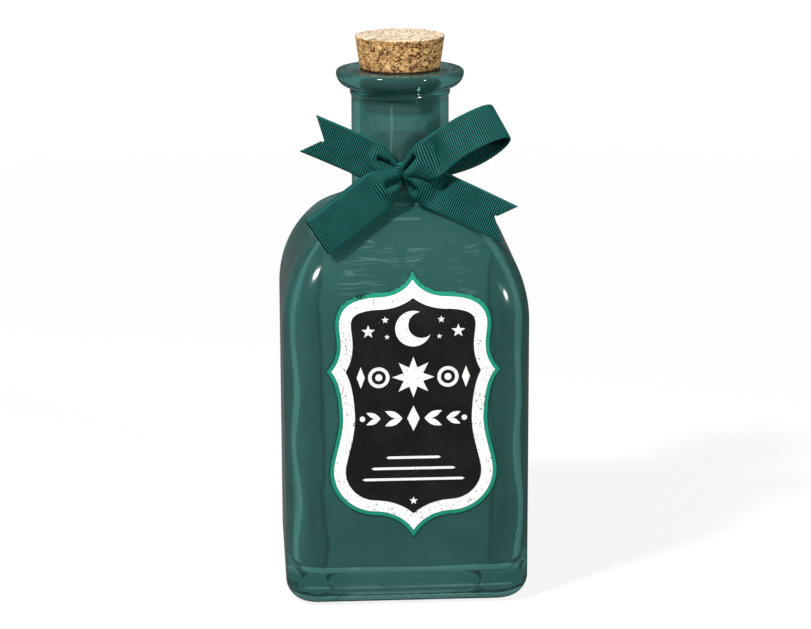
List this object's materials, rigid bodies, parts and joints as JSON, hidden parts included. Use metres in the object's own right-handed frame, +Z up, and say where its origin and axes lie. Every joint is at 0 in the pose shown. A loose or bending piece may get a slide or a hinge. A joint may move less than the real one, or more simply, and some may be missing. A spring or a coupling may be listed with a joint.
{
  "type": "corked potion bottle",
  "caption": "Square shouldered bottle of teal tinted glass with a tapered cork, a ribbon bow round the neck and a framed label with a moon and stars on its front.",
  "frame": {"origin": "middle of the standing ring under the base", "axes": "+Z up the bottle's axis, the label faces -Y, +X to the right seen from the front"},
  "size_m": [0.0676, 0.0681, 0.1544],
  "materials": {
    "glass": "smooth, glossy, teal tinted",
    "cork": "agglomerated cork, matt, coarse granules",
    "label_edge": "satin print, bright green",
    "label_white": "satin print, white with fine specks",
    "label_black": "satin print, black",
    "label_cream": "satin print, pale cream",
    "ribbon": "ribbed grosgrain, soft sheen"
  },
  "bodies": {
    "bottle": {"glass_bottle": "glass", "front_label": "label_edge", "label_white_band": "label_white", "label_black_field": "label_black", "label_moon_and_stars": "label_cream", "ribbon_bow": "ribbon"},
    "cork": {"cork_stopper": "cork"}
  },
  "joints": [
    {"name": "cork_pull", "type": "slide", "parent": "bottle", "child": "cork", "axis": [0, 0, 1], "range_m": [0, 0.03]}
  ]
}
